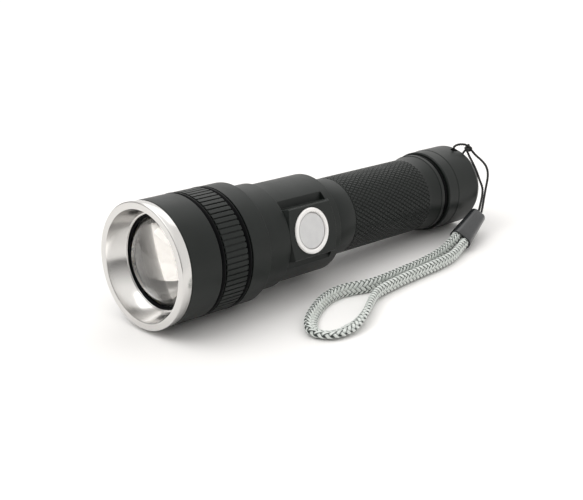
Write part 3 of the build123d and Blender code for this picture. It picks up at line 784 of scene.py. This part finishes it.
def make_tube():
    make_knurl()
    under_knurl = KNURL_FLOOR - 0.02
    soft = COLLAR_SOFTNESS
    outline = [
        (SPIGOT_START, BORE), (SPIGOT_START, SPIGOT), (COLLAR_START, SPIGOT),
        (COLLAR_START, COLLAR - soft), (COLLAR_START + soft * 0.3, COLLAR - soft * 0.3),
        (COLLAR_START + soft, COLLAR), (GRIP_START - soft, COLLAR),
        (GRIP_START - soft * 0.3, COLLAR - soft * 0.2), (GRIP_START, under_knurl),
        (GRIP_END, under_knurl), (GRIP_END, GRIP), (FLARE_START, GRIP), (FLARE_END, FLARE),
        (FLARE_END, REAR_RING - RING_SOFTNESS), (FLARE_END + RING_SOFTNESS, REAR_RING),
        (RING_END - RING_SOFTNESS, REAR_RING), (RING_END, REAR_RING - RING_SOFTNESS),
        (RING_END, SEAL_FLOOR), (SEAL_END, SEAL_FLOOR), (SEAL_END, TAIL_SPIGOT),
        (TUBE_END, TAIL_SPIGOT), (TUBE_END, BORE),
    ]
    tube = lathe("battery_tube_turned", outline, MATERIALS["anodised_black"], 224, sharp=25)
    stand_in(tube, "battery_tube", "body")


# ------------------------------------------------------------------ bezel and lens
LENS_FOOT = 7.3              # station of the dome's rim
LENS_RISE = 6.0
LENS_DOME_RADIUS = 13.3
LENS_FLANGE = 7.8            # station of the flange's front face
LENS_FLANGE_RADIUS = 15.6
LENS_BACK = 10.3
LENS_SOFTNESS = 0.1
LENS_STEPS = 40


def make_bezel():
    outline = [
        # front rim
        (0.12, 16.75), (0.03, 16.9), (0.0, 17.05), (0.0, 18.7), (0.04, 18.85), (0.14, 18.96),
        # side band, and the spigot inside the barrel
        (0.3, 19.0), (3.35, 18.79), (3.46, 18.74), (3.5, 18.66), (3.5, 17.4), (10.3, 17.4),
        # seat of the lens, the lip that holds it, and the cone back to the rim
        (10.3, 15.7), (6.7, 15.7), (6.7, 14.4), (6.62, 14.36), (6.3, 14.36), (6.2, 14.45),
        (6.2, 14.82), (6.12, 14.92),
    ]
    bezel = lathe("bezel_ring", outline, MATERIALS["bezel_metal"], 256, sharp=40)
    stand_in(bezel, "bezel", "head")


def make_lens():
    """A plano-convex lens: a tall dome on a flange, with a flat back."""
    curve = (LENS_DOME_RADIUS ** 2 + LENS_RISE ** 2) / (2 * LENS_RISE)
    centre = LENS_FOOT - LENS_RISE + curve
    widest = atan2(LENS_DOME_RADIUS, centre - LENS_FOOT)
    outline = [(LENS_FOOT - LENS_RISE, 0.0)]
    for step in range(1, LENS_STEPS + 1):
        angle = widest * step / LENS_STEPS
        outline.append((centre - curve * cos(angle), curve * sin(angle)))
    outline += [
        (LENS_FLANGE, LENS_DOME_RADIUS), (LENS_FLANGE, LENS_FLANGE_RADIUS - LENS_SOFTNESS),
        (LENS_FLANGE + LENS_SOFTNESS, LENS_FLANGE_RADIUS),
        (LENS_BACK - LENS_SOFTNESS, LENS_FLANGE_RADIUS),
        (LENS_BACK, LENS_FLANGE_RADIUS - LENS_SOFTNESS), (LENS_BACK, 8.0), (LENS_BACK, 0.0),
    ]
    lens = lathe("lens_glass", outline, MATERIALS["lens_glass"], 256, sharp=40, closed=False)
    stand_in(lens, "lens", "head")


# ------------------------------------------------------------------ floor and light
FLOOR_CORNERS = [(-2.5, -0.5, 0), (0.45, -0.5, 0), (0.45, 2.5, 0), (-2.5, 2.5, 0)]


def add_light(name, place, size, power):
    """A soft rectangular light aimed at the torch."""
    data = bpy.data.lights.new(name, "AREA")
    data.shape = "RECTANGLE"
    data.size, data.size_y = size
    data.energy = power
    aim_from(add_object(name, data), place, (0, 0, 0))


def make_world():
    """A studio with a bright ceiling and backdrop, and a dark room behind the camera."""
    world = bpy.data.worlds.new("studio")
    world.use_nodes = True
    tree = world.node_tree
    background = tree.nodes["Background"]
    background.inputs["Color"].default_value = (1.0, 0.99, 0.975, 1)
    direction = separate(tree, tree.nodes.new("ShaderNodeTexCoord").outputs["Generated"])
    ceiling = spread(tree, direction["Z"], 0.15, 1.2, 0.05, 0.8)
    backdrop = spread(tree, direction["Y"], 0.15, 1.0, -0.25, 0.5)
    brighter = calculate(tree, "MAXIMUM", ceiling, backdrop)
    tree.links.new(brighter, background.inputs["Strength"])
    bpy.context.scene.world = world


def make_studio():
    material, tree, shader = start_material("studio_floor", (0.90, 0.89, 0.88), 0.7)
    tree.links.new(spread(tree, noise(tree, 30.0), 0.65, 0.75), shader.inputs["Roughness"])
    add_mesh("floor", FLOOR_CORNERS, [(0, 1, 2, 3)], material)
    make_world()
    bpy.context.scene.view_settings.view_transform = "Standard"
    add_light("key", (-0.25, -0.55, 0.8), (0.8, 0.8), 3.6)
    add_light("back", (-0.35, 0.6, 0.6), (0.8, 0.5), 0.8)


make_camera()
make_lanyard()
make_tube()
make_bezel()
make_lens()
finish_cad_nodes()
make_studio()
